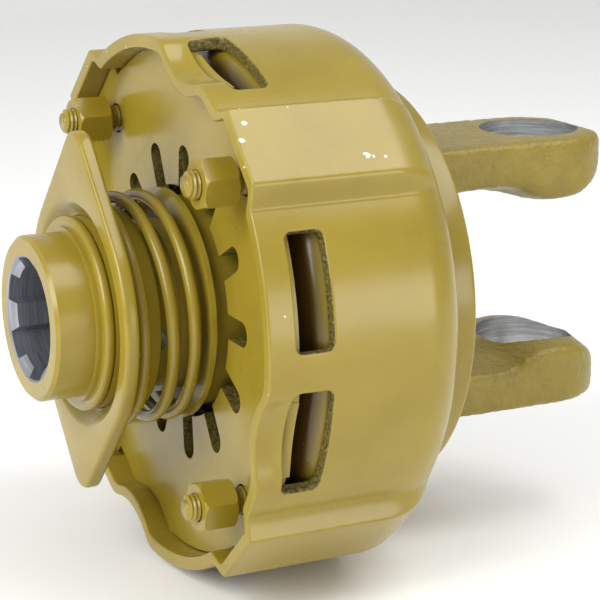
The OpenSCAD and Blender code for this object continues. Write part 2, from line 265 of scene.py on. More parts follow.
def surface(name, points_mm, faces, body, node, materials):
    """Smooth mesh from points in millimetres and faces, normals outwards, riding on a body for a CAD node."""
    mesh = bpy.data.meshes.new(name)
    mesh.from_pydata((np.asarray(points_mm) * MM).tolist(), [], [list(f) for f in faces])
    work = bmesh.new()
    work.from_mesh(mesh)
    bmesh.ops.remove_doubles(work, verts=work.verts, dist=MERGE_SURFACE)
    bmesh.ops.recalc_face_normals(work, faces=work.faces)
    work.to_mesh(mesh)
    work.free()
    piece = bpy.data.objects.new(name, mesh)
    bpy.context.scene.collection.objects.link(piece)
    dress(piece, body, node, materials)
    mesh.polygons.foreach_set("use_smooth", np.full(len(mesh.polygons), True))
    return piece


def dress(piece, body, node, materials):
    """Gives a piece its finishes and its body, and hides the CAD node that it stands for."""
    piece.data.materials.clear()
    for finish in materials:
        piece.data.materials.append(finish)
    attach(piece, body)
    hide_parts(node)


def round_edges(piece, width_mm, sharp_deg):
    """Bevel of a real radius on the edges that bend more than sharp_deg."""
    bevel = piece.modifiers.new("edge_round", "BEVEL")
    bevel.width = width_mm * MM
    bevel.segments = 2
    bevel.limit_method = "ANGLE"
    bevel.angle_limit = math.radians(sharp_deg)
    bevel.harden_normals = True


def softened_copy(node, name, body, materials, bevel_mm):
    """Merged copy of a CAD node with its sharp edges rounded."""
    mesh = NODES[node].data.copy()
    mesh.name = name
    work = bmesh.new()
    work.from_mesh(mesh)
    bmesh.ops.remove_doubles(work, verts=work.verts, dist=MERGE_COPY)
    bmesh.ops.dissolve_limit(work, angle_limit=math.radians(FLAT_BEND), verts=work.verts, edges=work.edges)
    work.to_mesh(mesh)
    work.free()
    if "custom_normal" in mesh.attributes:
        mesh.attributes.remove(mesh.attributes["custom_normal"])
    mesh.polygons.foreach_set("use_smooth", np.full(len(mesh.polygons), True))
    piece = bpy.data.objects.new(name, mesh)
    bpy.context.scene.collection.objects.link(piece)
    dress(piece, body, node, materials)
    mesh.polygons.foreach_set("material_index", np.zeros(len(mesh.polygons), np.int32))
    round_edges(piece, bevel_mm, EDGE_SHARP)
    return piece


def points_of(piece):
    """A piece's vertices in millimetres, one row each."""
    co = np.zeros(len(piece.data.vertices) * 3)
    piece.data.vertices.foreach_get("co", co)
    return co.reshape(-1, 3) / MM


def move_points(piece, points_mm):
    """Puts a piece's vertices at new places in millimetres."""
    piece.data.vertices.foreach_set("co", (points_mm * MM).ravel())
    piece.data.update()


def face_arrays(mesh):
    """Face centres in millimetres and face normals as two arrays."""
    centres = np.zeros(len(mesh.polygons) * 3)
    normals = np.zeros(len(mesh.polygons) * 3)
    mesh.polygons.foreach_get("center", centres)
    mesh.polygons.foreach_get("normal", normals)
    return centres.reshape(-1, 3) / MM, normals.reshape(-1, 3)


def paint_faces(piece, mask, index):
    """Sets the material index of the masked faces."""
    current = np.zeros(len(piece.data.polygons), np.int32)
    piece.data.polygons.foreach_get("material_index", current)
    current[mask] = index
    piece.data.polygons.foreach_set("material_index", current)
    piece.data.update()


# Paint chips in millimetres: on the upper channel's flat as along, across and reach, and one beside a window

FLAT_CHIPS = (
    (73.1, 6.3, 2.0), (75.0, 6.9, 1.0), (78.1, 7.5, 1.4),
    (41.7, -6.8, 1.3), (39.4, -1.7, 1.3), (55.4, -10.6, 1.0),
)
WINDOW_CHIP = ((42.8, -75.9, 13.9), 2.6)


def flat_point(x, across):
    """Point in millimetres on the flat of the upper channel that faces the camera."""
    clock = math.radians(STUD_CLOCK + QUARTER)
    return (
        x,
        CHANNEL_FLAT * math.cos(clock) - across * math.sin(clock),
        CHANNEL_FLAT * math.sin(clock) + across * math.cos(clock),
    )


CHIPS = [(flat_point(x, across), reach) for x, across, reach in FLAT_CHIPS] + [WINDOW_CHIP]


# Material helpers; sizes of specks, fibres and bumps in millimetres

SPECK_MM = 4.0
FIBRE_MM = 1.5
PEEL_DEPTH = 0.4
GROOVE_DEPTH = 0.2
GROOVE_LENGTH = 40.0
CHIP_STRENGTH = 1.25
CHIP_STEP = (0.5, 0.52)


def linear(hex_colour):
    """sRGB hex colour as linear RGBA."""
    srgb = np.array([int(hex_colour[k:k + 2], 16) for k in (1, 3, 5)]) / 255.0
    rgb = np.where(srgb <= 0.04045, srgb / 12.92, ((srgb + 0.055) / 1.055) ** 2.4)
    return (*rgb.tolist(), 1.0)


def add(tree, kind, settings=None, inputs=None, links=None):
    """Adds one node with its settings, its socket values and its links from (node, output) pairs."""
    made = tree.nodes.new(kind)
    for key, value in (settings or {}).items():
        setattr(made, key, value)
    for key, value in (inputs or {}).items():
        made.inputs[key].default_value = value
    for key, (source, output) in (links or {}).items():
        tree.links.new(source.outputs[output], made.inputs[key])
    return made


def new_material(name):
    """An empty material with its Principled shader and Object coordinates."""
    made = bpy.data.materials.new(name)
    made.use_nodes = True
    tree = made.node_tree
    shader = tree.nodes["Principled BSDF"]
    place = add(tree, "ShaderNodeTexCoord")
    return made, tree, shader, place


def ramp(tree, source, stops):
    """Colour ramp over (source node, output) with (position, linear colour) stops."""
    made = add(tree, "ShaderNodeValToRGB", links={"Fac": source})
    while len(made.color_ramp.elements) < len(stops):
        made.color_ramp.elements.new(0.5)
    for element, (position, colour) in zip(made.color_ramp.elements, stops):
        element.position = position
        element.color = colour
    return made


def per_metre(size_mm):
    """Texture scale whose features are about size_mm apart on Object coordinates in metres."""
    return 1.0 / (size_mm * MM)


def noise(tree, source, scale, detail, roughness=0.5):
    """Noise texture over (source node, output)."""
    values = {"Scale": scale, "Detail": detail, "Roughness": roughness}
    return add(tree, "ShaderNodeTexNoise", inputs=values, links={"Vector": source})


def chip_mask(tree, place, specks):
    """White where the rub attribute or a chip's nearness, made ragged by the specks, has broken the paint."""
    rub = add(tree, "ShaderNodeAttribute", {"attribute_name": "rub"})
    level = add(tree, "ShaderNodeMath", {"operation": "MULTIPLY"},
                links={0: (rub, "Fac"), 1: (specks, "Fac")})
    for spot, reach in CHIPS:
        away = add(tree, "ShaderNodeVectorMath", {"operation": "DISTANCE"}, {1: Vector(spot) * MM},
                   {0: (place, "Object")})
        near = add(tree, "ShaderNodeMapRange",
                   inputs={"From Max": 2 * reach * MM, "To Min": CHIP_STRENGTH, "To Max": 0.0},
                   links={"Value": (away, "Value")})
        ragged = add(tree, "ShaderNodeMath", {"operation": "MULTIPLY"},
                     links={0: (near, "Result"), 1: (specks, "Fac")})
        level = add(tree, "ShaderNodeMath", {"operation": "MAXIMUM"},
                    links={0: (level, "Value"), 1: (ragged, "Value")})
    return ramp(tree, (level, "Value"), [(CHIP_STEP[0], (0, 0, 0, 1)), (CHIP_STEP[1], (1, 1, 1, 1))])


def gold_enamel(name, base="#927E25", light="#98842B", shade="#8B7720", mottle_mm=28.0, peel=0.05,
                grit_mm=1.1, rough=0.22, coat=0.15, wear=False, painted_shade_x=None):
    """Mustard gold enamel: glossy, faint orange peel, pale chips where rubbed, and painted shade: dark brown
    towards the front, fading into gold along X, when its two X values are given.
    """
    made, tree, shader, place = new_material(name)
    coordinates = (place, "Object")
    mottle = noise(tree, coordinates, per_metre(mottle_mm), 5.0, 0.6)
    tone = ramp(tree, (mottle, "Fac"), [(0.3, linear(shade)), (0.5, linear(base)), (0.72, linear(light))])
    colour = (tone, "Color")
    specks = noise(tree, coordinates, per_metre(SPECK_MM), 4.0, 0.7)
    gloss = add(tree, "ShaderNodeMapRange",
                inputs={"From Min": 0.3, "From Max": 0.7, "To Min": rough, "To Max": rough + 0.06},
                links={"Value": (specks, "Fac")})
    if wear:
        chip = chip_mask(tree, place, specks)
        mixed = add(tree, "ShaderNodeMix", {"data_type": "RGBA"}, {7: linear("#F2EFE6")},
                    {0: (chip, "Color"), 6: colour})
        colour = (mixed, 2)
    # Painted shade: dark brown at low X that fades into the enamel's colour between the two given X values.
    if painted_shade_x:
        along = add(tree, "ShaderNodeSeparateXYZ", links={"Vector": coordinates})
        out_of_shade = add(tree, "ShaderNodeMapRange", {"interpolation_type": "SMOOTHSTEP"},
                      {"From Min": painted_shade_x[0] * MM, "From Max": painted_shade_x[1] * MM}, {"Value": (along, "X")})
        mixed = add(tree, "ShaderNodeMix", {"data_type": "RGBA"}, {6: linear("#3A260C")},
                    {0: (out_of_shade, "Result"), 7: colour})
        colour = (mixed, 2)
    tree.links.new(colour[0].outputs[colour[1]], shader.inputs["Base Color"])
    tree.links.new(gloss.outputs["Result"], shader.inputs["Roughness"])
    skin = noise(tree, coordinates, per_metre(grit_mm), 3.0)
    bump = add(tree, "ShaderNodeBump", inputs={"Strength": peel, "Distance": PEEL_DEPTH * MM},
               links={"Height": (skin, "Fac")})
    tree.links.new(bump.outputs["Normal"], shader.inputs["Normal"])
    shader.inputs["Specular IOR Level"].default_value = 0.45
    shader.inputs["Coat Weight"].default_value = coat
    shader.inputs["Coat Roughness"].default_value = 0.12
    return made


def turned_steel(name, dark, light, rough, groove_mm, axis):
    """Bare machined steel: metallic, with fine tool marks that run round the bore's axis."""
    made, tree, shader, place = new_material(name)
    stretch = [per_metre(groove_mm * GROOVE_LENGTH)] * 3
    stretch[axis] = per_metre(groove_mm)
    mapped = add(tree, "ShaderNodeMapping", inputs={"Scale": Vector(stretch)},
                 links={"Vector": (place, "Object")})
    marks = noise(tree, (mapped, "Vector"), 1.0, 4.0, 0.65)
    tone = ramp(tree, (marks, "Fac"), [(0.3, linear(dark)), (0.7, linear(light))])
    tree.links.new(tone.outputs["Color"], shader.inputs["Base Color"])
    shade = add(tree, "ShaderNodeMapRange", inputs={"To Min": rough - 0.08, "To Max": rough + 0.1},
                links={"Value": (marks, "Fac")})
    tree.links.new(shade.outputs["Result"], shader.inputs["Roughness"])
    bump = add(tree, "ShaderNodeBump", inputs={"Strength": 0.12, "Distance": GROOVE_DEPTH * MM},
               links={"Height": (marks, "Fac")})
    tree.links.new(bump.outputs["Normal"], shader.inputs["Normal"])
    shader.inputs["Metallic"].default_value = 0.9
    return made


def matt_lining(name):
    """Pressed friction lining: matt brown grey with short pale fibres."""
    made, tree, shader, place = new_material(name)
    fibres = noise(tree, (place, "Object"), per_metre(FIBRE_MM), 6.0)
    tone = ramp(tree, (fibres, "Fac"), [(0.35, linear("#37322A")), (0.7, linear("#6B6252"))])
    tree.links.new(tone.outputs["Color"], shader.inputs["Base Color"])
    shader.inputs["Roughness"].default_value = 0.85
    return made


HOUSING_PAINT = gold_enamel("gold_enamel_pressed_sheet", wear=True)
PAINT = gold_enamel("gold_enamel_turned_steel")
FORGED_PAINT = gold_enamel("gold_enamel_forging", base="#87751F", light="#8E7B25", shade="#7F6D1A",
                           mottle_mm=8.0, peel=1.0, grit_mm=1.2, rough=0.3, coat=0.0)
EDGE_PAINT = gold_enamel("thin_enamel_on_cut_edge", base="#675B2C", light="#94874F", shade="#352D10",
                         mottle_mm=1.0, peel=0.6, grit_mm=0.5)
BORE_STEEL = turned_steel("broached_spline_steel", "#7C7F88", "#B4B7BE", 0.45, 0.6, 0)
EAR_STEEL = turned_steel("bored_ear_steel", "#A9ABAE", "#EDEEEF", 0.24, 0.5, 2)
DISC_STEEL = turned_steel("ground_disc_steel", "#55565A", "#86888B", 0.4, 0.8, 0)
BALL_STEEL = turned_steel("ball_bearing_steel", "#8A8C8F", "#B9BBBE", 0.18, 2.0, 0)
BUSH_BRONZE = turned_steel("sintered_bronze", "#7A5A2E", "#A27C45", 0.45, 0.8, 0)
LINING = matt_lining("pressed_friction_lining")


# Housing

def housing_clock_lines():
    """Clock angles of the grid's lines over a quarter about a channel's middle, closer where it bends."""
    edge = math.degrees(math.asin(WINDOW_HALF_W / POT_R))
    corner = math.degrees(WINDOW_CORNER / POT_R)
    near, far = WINDOW_CLOCKS[1] - edge, WINDOW_CLOCKS[1] + edge
    stops = (0.0, *CHANNEL_BAND, near, near + corner, far - corner, far, QUARTER / 2)
    half = banded(stops, (7, 26, 4, 5, 18, 5, 4))
    return np.concatenate([[-QUARTER / 2], -half[:0:-1], half]), (near, far)


def housing_profile():
    """Line of the pot's outside: straight wall, quarter arc, rear wall, as x, r, outward normal and run."""
    window_rear = WINDOW_FRONT + WINDOW_LENGTH
    corners = (WINDOW_FRONT + WINDOW_CORNER, window_rear - WINDOW_CORNER)
    straight = banded((MOUTH_X, WINDOW_FRONT, *corners, window_rear, CORNER_X), (9, 5, 7, 5, 18))
    turn = np.radians(np.linspace(0.0, 90.0, 19))
    rear = np.linspace(POT_R - CORNER_R, REAR_HOLE_R, 9)[1:]
    x = np.concatenate([straight, CORNER_X + CORNER_R * np.sin(turn), np.full(rear.size, REAR_X)])
    r = np.concatenate([np.full(straight.size, POT_R), POT_R - CORNER_R + CORNER_R * np.cos(turn), rear])
    nx = np.concatenate([np.zeros(straight.size), np.sin(turn), np.ones(rear.size)])
    nr = np.concatenate([np.ones(straight.size), np.cos(turn), np.zeros(rear.size)])
    rear_run = CORNER_R * turn[-1] + (POT_R - CORNER_R - rear)
    run = np.concatenate([straight - CORNER_X, CORNER_R * turn, rear_run])
    return x, r, nx, nr, run


def channel_rise(clock):
    """Rise of the flat channel above the round pot: a plane at CHANNEL_FLAT, one side crisp and one soft."""
    plane = CHANNEL_FLAT / np.cos(np.radians(clock)) - POT_R
    crisp = np.clip((clock + CHANNEL_FOOT) / (CHANNEL_FOOT - CHANNEL_EDGE), 0.0, 1.0) ** CRISP_POWER
    soft = 1.0 - smooth(*SOFT_SIDE, clock)
    return np.where(np.abs(clock) < CHANNEL_SPAN, plane * crisp * soft, 0.0)


def dent_fall(clock):
    """Fall of the pressed dent below the round pot: near side of a circle of DENT_R at DENT_CENTRE_R."""
    swing = np.radians(quarter_clock(clock - DENT_CLOCK))
    reach = np.maximum(DENT_R ** 2 - (DENT_CENTRE_R * np.sin(swing)) ** 2, 0.0)
    circle = DENT_CENTRE_R * np.cos(swing) - np.sqrt(reach)
    circle = np.where(reach > 0.0, circle, POT_R + DENT_CLEAR)
    fall = POT_R - circle
    return 0.5 * (fall + np.sqrt(fall ** 2 + DENT_BLEND)) * smooth(*DENT_SPAN, np.degrees(np.abs(swing)))


def dent_fade(x):
    """Share of the dent's depth along the axis: whole at the mouth, gone behind the window's front part."""
    return 1.0 - smooth(*DENT_RUN, x)


def window_warp(x, clock):
    """Moves grid points near a window so that its square corners become arcs of WINDOW_CORNER."""
    half_l = WINDOW_LENGTH / 2
    centre_x = WINDOW_FRONT + half_l
    per_degree = math.radians(1.0) * POT_R
    half_w = math.degrees(math.asin(WINDOW_HALF_W / POT_R)) * per_degree
    for middle in WINDOW_CLOCKS:
        u = x - centre_x
        v = (clock - middle) * per_degree
        outside = np.maximum(np.maximum(np.abs(u) - half_l, np.abs(v) - half_w), 0.0)
        weight = 1.0 - smooth(0.0, WINDOW_BLEND, outside)
        cu = np.clip(np.abs(u), 0.0, half_l) - (half_l - WINDOW_CORNER)
        cv = np.clip(np.abs(v), 0.0, half_w) - (half_w - WINDOW_CORNER)
        at_corner = (cu > 0) & (cv > 0)
        length = np.maximum(np.sqrt(cu ** 2 + cv ** 2), WINDOW_CORNER)
        pull = np.where(at_corner, WINDOW_CORNER / length - 1.0, 0.0) * weight
        x = x + np.sign(u) * cu * pull
        clock = clock + np.sign(v) * cv * pull / per_degree
    return x, clock


def housing_shell():
    """Pressed pot: profile turned about the axis, four raised channels, dents at the mouth, wall inwards."""
    lines, (near, far) = housing_clock_lines()
    quarter = lines.size
    profile_x, profile_r, nx, nr, run = housing_profile()
    rows = profile_x.size
    local = np.tile(lines, 4)[None, :] + np.zeros((rows, 1))
    offset = np.repeat(np.arange(4) * QUARTER, quarter)[None, :]
    x = profile_x[:, None] + 0.0 * local
    warped_x, warped = window_warp(x, local)
    fade = 1.0 - smooth(*CHANNEL_FADE, run)
    dent = dent_fade(warped_x)
    lift = channel_rise(warped) * fade[:, None] - dent_fall(warped) * dent
    angle = np.radians(STUD_CLOCK + offset + warped)
    shells = []
    for depth in (0.0, WALL):
        sx = warped_x + nx[:, None] * (lift - depth)
        sr = profile_r[:, None] + nr[:, None] * (lift - depth)
        shells.append(np.stack([sx, sr * np.cos(angle), sr * np.sin(angle)], axis=-1).reshape(-1, 3))
    columns = 4 * quarter
    step = (np.roll(local[0], -1) - local[0]) % QUARTER
    middle = local[0] + step / 2
    mid_x = (profile_x[:-1] + profile_x[1:]) / 2
    in_length = (mid_x > WINDOW_FRONT) & (mid_x < WINDOW_FRONT + WINDOW_LENGTH)
    in_width = (np.abs(middle) > near) & (np.abs(middle) < far)
    hole = in_length[:, None] & in_width[None, :]
    quads = grid_faces(rows, columns, wrap_columns=True)
    kept = quads[~hole.ravel()]
    count = rows * columns
    faces = [kept, kept[:, ::-1] + count]
    i, j = np.nonzero(hole)
    window_sides = (
        (-1, 0, (0, 0), (0, 1)), (1, 0, (1, 0), (1, 1)),
        (0, -1, (0, 0), (1, 0)), (0, 1, (0, 1), (1, 1)),
    )
    for di, dj, a, b in window_sides:
        open_side = ~hole[i + di, (j + dj) % columns]
        p = (i + a[0]) * columns + (j + a[1]) % columns
        q = (i + b[0]) * columns + (j + b[1]) % columns
        faces.append(np.stack([p, q, q + count, p + count], axis=1)[open_side])
    for row in (0, rows - 1):
        p = row * columns + np.arange(columns)
        q = row * columns + (np.arange(columns) + 1) % columns
        faces.append(np.stack([p, q, q + count, p + count], axis=1))
    cuts = sum(len(f) for f in faces[2:6])
    piece = surface("housing_shell", np.concatenate(shells), np.concatenate(faces),
                    "housing_group", "housing", [HOUSING_PAINT, EDGE_PAINT])
    first_cut = 2 * len(kept)
    index = np.arange(len(piece.data.polygons))
    paint_faces(piece, (index >= first_cut) & (index < first_cut + cuts), 1)
    add_rub(piece)
    round_edges(piece, SHEET_ROUND, SHEET_SHARP)
    return piece


def add_rub(piece):
    """Point attribute rub: highest along the channels' crisp edge and the mouth's rim."""
    points = points_of(piece)
    from_edge = channel_clock(points) + CHANNEL_EDGE - EDGE_RUB_SHIFT
    raised = np.hypot(points[:, 1], points[:, 2]) > POT_R + EDGE_RUB_RISE
    crisp = np.exp(-(from_edge / EDGE_RUB_REACH) ** 2) * raised * np.where(points[:, 2] > 0.0, *EDGE_RUB)
    rim = np.exp(-((points[:, 0] - MOUTH_X) / RIM_RUB_REACH) ** 2) * RIM_RUB
    rub = piece.data.attributes.new("rub", "FLOAT", "POINT")
    rub.data.foreach_set("value", np.maximum(crisp, rim).astype(np.float32))


# Pull collar

def collar_reach(angle):
    """Outline radius of the collar plate by angle from its finger axis: tip circle, straight flank, round."""
    high = low_high("pull_collar")[1]
    big = high[1]
    tip_r = COLLAR_TIP_R
    tip_c = high[2] - tip_r
    fold = np.abs((angle + 90.0) % 180.0 - 90.0)
    a = np.radians(fold)
    flank = math.acos((big - tip_r) / tip_c)
    tip_end = math.atan2(tip_r * math.sin(flank), tip_c + tip_r * math.cos(flank))
    tip = tip_c * np.cos(a) + np.sqrt(np.maximum(tip_r ** 2 - (tip_c * np.sin(a)) ** 2, 0.0))
    straight = big / np.cos(flank - a)
    return np.where(a >= flank, big, np.where(a >= tip_end, straight, tip))


def collar_plate():
    """Collar: a closed profile turned about the axis, its outer points carried out to the plate's outline."""
    low, high = low_high("pull_collar")
    front, end = low[0], high[0]
    rear = front + COLLAR_T
    round_r = COLLAR_ROUND
    arc = np.radians(np.linspace(0.0, 90.0, 6))
    angle = np.linspace(0.0, 360.0, 480, endpoint=False)
    reach = collar_reach(angle)
    foot = CUP_FILLET
    fixed = [(SLEEVE_R, end), (CUP_R - CUP_CHAMFER, end), (CUP_R, end - CUP_CHAMFER), (CUP_R, rear + foot)]
    fixed += [(CUP_R + foot * (1 - math.cos(t)), rear + foot * (1 - math.sin(t))) for t in arc[1:]]
    ring = [(np.full(angle.size, r), x) for r, x in fixed]
    ring += [(reach - round_r + round_r * math.sin(t), rear - round_r + round_r * math.cos(t)) for t in arc]
    ring += [(reach - round_r + round_r * math.cos(t), front + round_r - round_r * math.sin(t)) for t in arc]
    for t in np.linspace(0.0, 1.0, 12):
        funnel = FUNNEL_R + (SLEEVE_R - FUNNEL_R) * t
        ring.append((np.full(angle.size, funnel), front + FUNNEL_DEPTH * smooth(0.0, 1.0, t)))
    turn = np.radians(angle)
    rows = [np.stack([np.full(angle.size, x), r * np.sin(turn), r * np.cos(turn)], -1) for r, x in ring]
    faces = grid_faces(len(ring), angle.size, wrap_rows=True, wrap_columns=True)
    return surface("pull_collar_plate", np.concatenate(rows), faces,
                   "collar_group", "pull_collar", [PAINT])


# Collar spring

def spring_wire():
    """Round wire carried along a helix, its turns closing up towards the seat, with domed ends."""
    low, high = low_high("coil_spring")
    sides = 20
    u = np.linspace(0.0, 1.0, 96 * COIL_TURNS + 1)
    rise = np.interp(u, COIL_TURN, COIL_RISE)
    rise = np.pad(rise, COIL_AVERAGE // 2, mode="reflect", reflect_type="odd")
    rise = np.convolve(rise, np.full(COIL_AVERAGE, 1 / COIL_AVERAGE), mode="valid")
    along = low[0] + WIRE_R + (high[0] - low[0] - 2 * WIRE_R) * rise
    swing = np.radians(COIL_START + 360.0 * COIL_TURNS * u)
    side = np.radians(np.linspace(0.0, 360.0, sides, endpoint=False))
    thin = np.concatenate([WIRE_DOME, np.ones(u.size - 2 * len(WIRE_DOME)), WIRE_DOME[::-1]]) * WIRE_R
    r = COIL_R + thin[:, None] * np.cos(side)[None, :]
    x = along[:, None] + thin[:, None] * np.sin(side)[None, :]
    points = np.stack([x, r * np.cos(swing)[:, None], r * np.sin(swing)[:, None]], axis=-1)
    wire = surface("collar_spring_wire", points.reshape(-1, 3), capped_faces(u.size, sides),
                   "hub_group", "coil_spring", [PAINT])
    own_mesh(wire)
    return wire


# Studs

def threaded_stud(number):
    """Rod whose radius falls by a rounded saw wave along a helix of THREAD_PITCH, with a chamfered tip."""
    node = f"stud_{number}"
    low, high = low_high(node)
    centre_y, centre_z = (low[1] + high[1]) / 2, (low[2] + high[2]) / 2
    x = np.concatenate([[low[0]], np.linspace(low[0], low[0] + THREAD_RUN, 200), [high[0], high[0]]])
    side = np.linspace(0.0, 2 * np.pi, 40, endpoint=False)
    wave = ((x[:, None] - low[0]) / THREAD_PITCH + side[None, :] / (2 * np.pi)) % 1.0
    cut = THREAD_DEPTH * (1.0 - np.abs(2.0 * wave - 1.0)) ** THREAD_POWER
    cut = cut * (1.0 - smooth(THREAD_RUN - THREAD_FADE, THREAD_RUN, x - low[0]))[:, None]
    tip = 1.0 - smooth(0.0, ROD_CHAMFER[0], x - low[0])
    r = ROD_R - cut - ROD_CHAMFER[1] * tip[:, None]
    r[0] = AXIS_R
    r[-1] = AXIS_R
    points = np.stack([x[:, None] + 0 * r, centre_y + r * np.cos(side), centre_z + r * np.sin(side)], axis=-1)
    return surface(f"threaded_stud_{number}", points.reshape(-1, 3), capped_faces(x.size, side.size),
                   "housing_group", node, [PAINT])


# Pieces kept close to their solids

def hub_body():
    """Hub with rounded edges: enamel outside, bare broached steel in the splined bore."""
    piece = softened_copy("hub", "splined_hub", "hub_group", [PAINT, BORE_STEEL], HUB_ROUND)
    centres, normals = face_arrays(piece.data)
    radius = np.hypot(centres[:, 1], centres[:, 2])
    paint_faces(piece, (radius < SPLINE_REACH) & (np.abs(normals[:, 0]) < BORE_NORMAL), 1)
    return piece


def relief_nut(number):
    """Backed-off relief nut: copy of its solid, turned on its stud and slimmed as in the photograph."""
    node = f"nut_{number}"
    piece = softened_copy(node, f"relief_nut_{number}", f"nut_{number}_group",
                          [PAINT], NUT_ROUND)
    low, high = low_high(node)
    centre = (low[1:] + high[1:]) / 2
    points = points_of(piece)
    turn = math.radians(NUT_TURN)
    y, z = points[:, 1] - centre[0], points[:, 2] - centre[1]
    slim = np.where(np.hypot(y, z) > NUT_HEX_FROM, NUT_SLIM, 1.0)
    y, z = y * slim, z * slim
    points[:, 0] -= NUT_FORWARD
    points[:, 1] = centre[0] + y * math.cos(turn) - z * math.sin(turn)
    points[:, 2] = centre[1] + y * math.sin(turn) + z * math.cos(turn)
    move_points(piece, points)
    return piece


def disc_spring_plate():
    """Slotted disc spring with broken edges, coned forward, its rim kept to the pot's wall or in a window."""
    piece = softened_copy("disc_spring", "slotted_disc_spring", "housing_group",
                          [PAINT, EDGE_PAINT], DISC_ROUND)
    points = points_of(piece)
    radius = np.hypot(points[:, 1], points[:, 2])
    points[:, 0] -= CONE_RISE * np.clip((radius - CONE_INNER_R) / (PLATE_R - CONE_INNER_R), 0.0, 1.0)
    clock = channel_clock(points)
    wall = POT_R + channel_rise(clock) - dent_fall(clock) * dent_fade(points[:, 0]) - WALL
    wall += np.where(np.abs(clock - WINDOW_CLOCKS[0]) < LOBE_HALF, LOBE_REACH, -RIM_PLAY)
    points[:, 1:] *= np.minimum(wall / np.maximum(radius, 1.0), 1.0)[:, None]
    move_points(piece, points)
    centres, normals = face_arrays(piece.data)
    near_axis = np.hypot(centres[:, 1], centres[:, 2]) < SLOT_REACH
    paint_faces(piece, near_axis & (np.abs(normals[:, 0]) < SLOT_NORMAL), 1)
    return piece


def rounded_pressure_plate():
    """Pressure plate whose front rim is a quarter round: cut in rings, each drawn in along the arc."""
    front = low_high("pressure_plate")[1][0] - PRESSURE_T
    # Painted shade: the rounded front rim is coloured dark brown and fades to gold towards the rear, standing
    # in for the shadow inside the windows.
    finish = gold_enamel("gold_enamel_painted_shade", painted_shade_x=(front + PAINTED_SHADE_REACH[0], front + PAINTED_SHADE_REACH[1]))
    piece = softened_copy("pressure_plate", "pressure_plate_rounded", "housing_group",
                          [finish], PLATE_EDGE)
    work = bmesh.new()
    work.from_mesh(piece.data)
    for step in PLATE_ROUND * (1.0 - np.cos(np.radians(np.arange(15.0, 91.0, 15.0)))):
        bmesh.ops.bisect_plane(work, geom=work.verts[:] + work.edges[:] + work.faces[:],
                               plane_co=((front + step) * MM, 0, 0), plane_no=(1, 0, 0))
    work.to_mesh(piece.data)
    work.free()
    points = points_of(piece)
    radius = np.hypot(points[:, 1], points[:, 2])
    left = np.clip(PLATE_ROUND - (points[:, 0] - front), 0.0, PLATE_ROUND)
    fall = PLATE_ROUND - np.sqrt(PLATE_ROUND ** 2 - left ** 2)
    at_rim = (radius > PLATE_R - RIM_BAND) & (points[:, 0] > front - FRONT_BAND)
    points[:, 1:] *= (1.0 - np.where(at_rim, fall, 0.0) / np.maximum(radius, 1.0))[:, None]
    move_points(piece, points)
    piece.data.polygons.foreach_set("use_smooth", np.full(len(piece.data.polygons), True))
    return piece


def scratch_object(name, mesh):
    """Linked object that is only worked on and then removed."""
    piece = bpy.data.objects.new(name, mesh)
    bpy.context.scene.collection.objects.link(piece)
    return piece


def settled_mesh(piece):
    """Mesh of a scratch object with its modifiers carried out."""
    bpy.context.view_layer.update()
    return bpy.data.meshes.new_from_object(piece.evaluated_get(bpy.context.evaluated_depsgraph_get()))


def prism(name, outline, half, lie_on):
    """Scratch prism: a flat outline in millimetres on the xy or xz plane, carried half to each side of it."""
    flat = np.asarray(outline)
    ends = []
    for side in (-half, half):
        level = np.full(len(flat), side)
        columns = (flat[:, 0], flat[:, 1], level) if lie_on == "xy" else (flat[:, 0], level, flat[:, 1])
        ends.append(np.stack(columns, axis=-1))
    faces = capped_faces(2, len(flat))
    mesh = bpy.data.meshes.new(name)
    mesh.from_pydata((np.concatenate(ends) * MM).tolist(), [], faces)
    work = bmesh.new()
    work.from_mesh(mesh)
    bmesh.ops.recalc_face_normals(work, faces=work.faces)
    work.to_mesh(mesh)
    work.free()
    return scratch_object(name, mesh)


def arc_points(centre, radius, start, end, count):
    """Points of an arc on a plane, angles in degrees."""
    turn = np.radians(np.linspace(start, end, count))
    return [(centre[0] + radius * math.cos(t), centre[1] + radius * math.sin(t)) for t in turn]


def gap_outline(eye_x, tip_x):
    """Side view of the gap between the ears: round saddle, arms, a boss under each eye, fall to the tips."""
    side = list(zip(eye_x + np.array(BOSS_REACH), BOSS_Z)) + [(tip_x + OVER_END, BOSS_Z[-1])]
    corner_x, corner_z = SADDLE_X + SADDLE_ROUND, SADDLE_Z - SADDLE_ROUND
    saddle = arc_points((corner_x, -corner_z), SADDLE_ROUND, 270.0, 180.0, 9)
    saddle += arc_points((corner_x, corner_z), SADDLE_ROUND, 180.0, 90.0, 9)
    return saddle + side + [(x, -z) for x, z in side[::-1]]


def cut_away(piece, cutter):
    """Takes a scratch object's shape out of a piece."""
    cut = piece.modifiers.new(cutter.name, "BOOLEAN")
    cut.operation = "DIFFERENCE"
    cut.solver = "EXACT"
    cut.object = cutter


def relax_in_die(forging):
    """Fuses the forging's faces, softens its edges and roughens its skin, as a die leaves them."""
    remesh = forging.modifiers.new("fuse", "REMESH")
    remesh.mode = "VOXEL"
    remesh.voxel_size = DIE_VOXEL * MM
    relax = forging.modifiers.new("relax", "SMOOTH")
    relax.factor = 0.5
    relax.iterations = DIE_RELAX
    grain = forging.modifiers.new("grain", "DISPLACE")
    grain.texture = bpy.data.textures.new("forged_grain", "CLOUDS")
    grain.texture.noise_scale = GRAIN_SIZE * MM
    grain.texture_coords = "LOCAL"
    grain.strength = GRAIN_DEPTH * MM


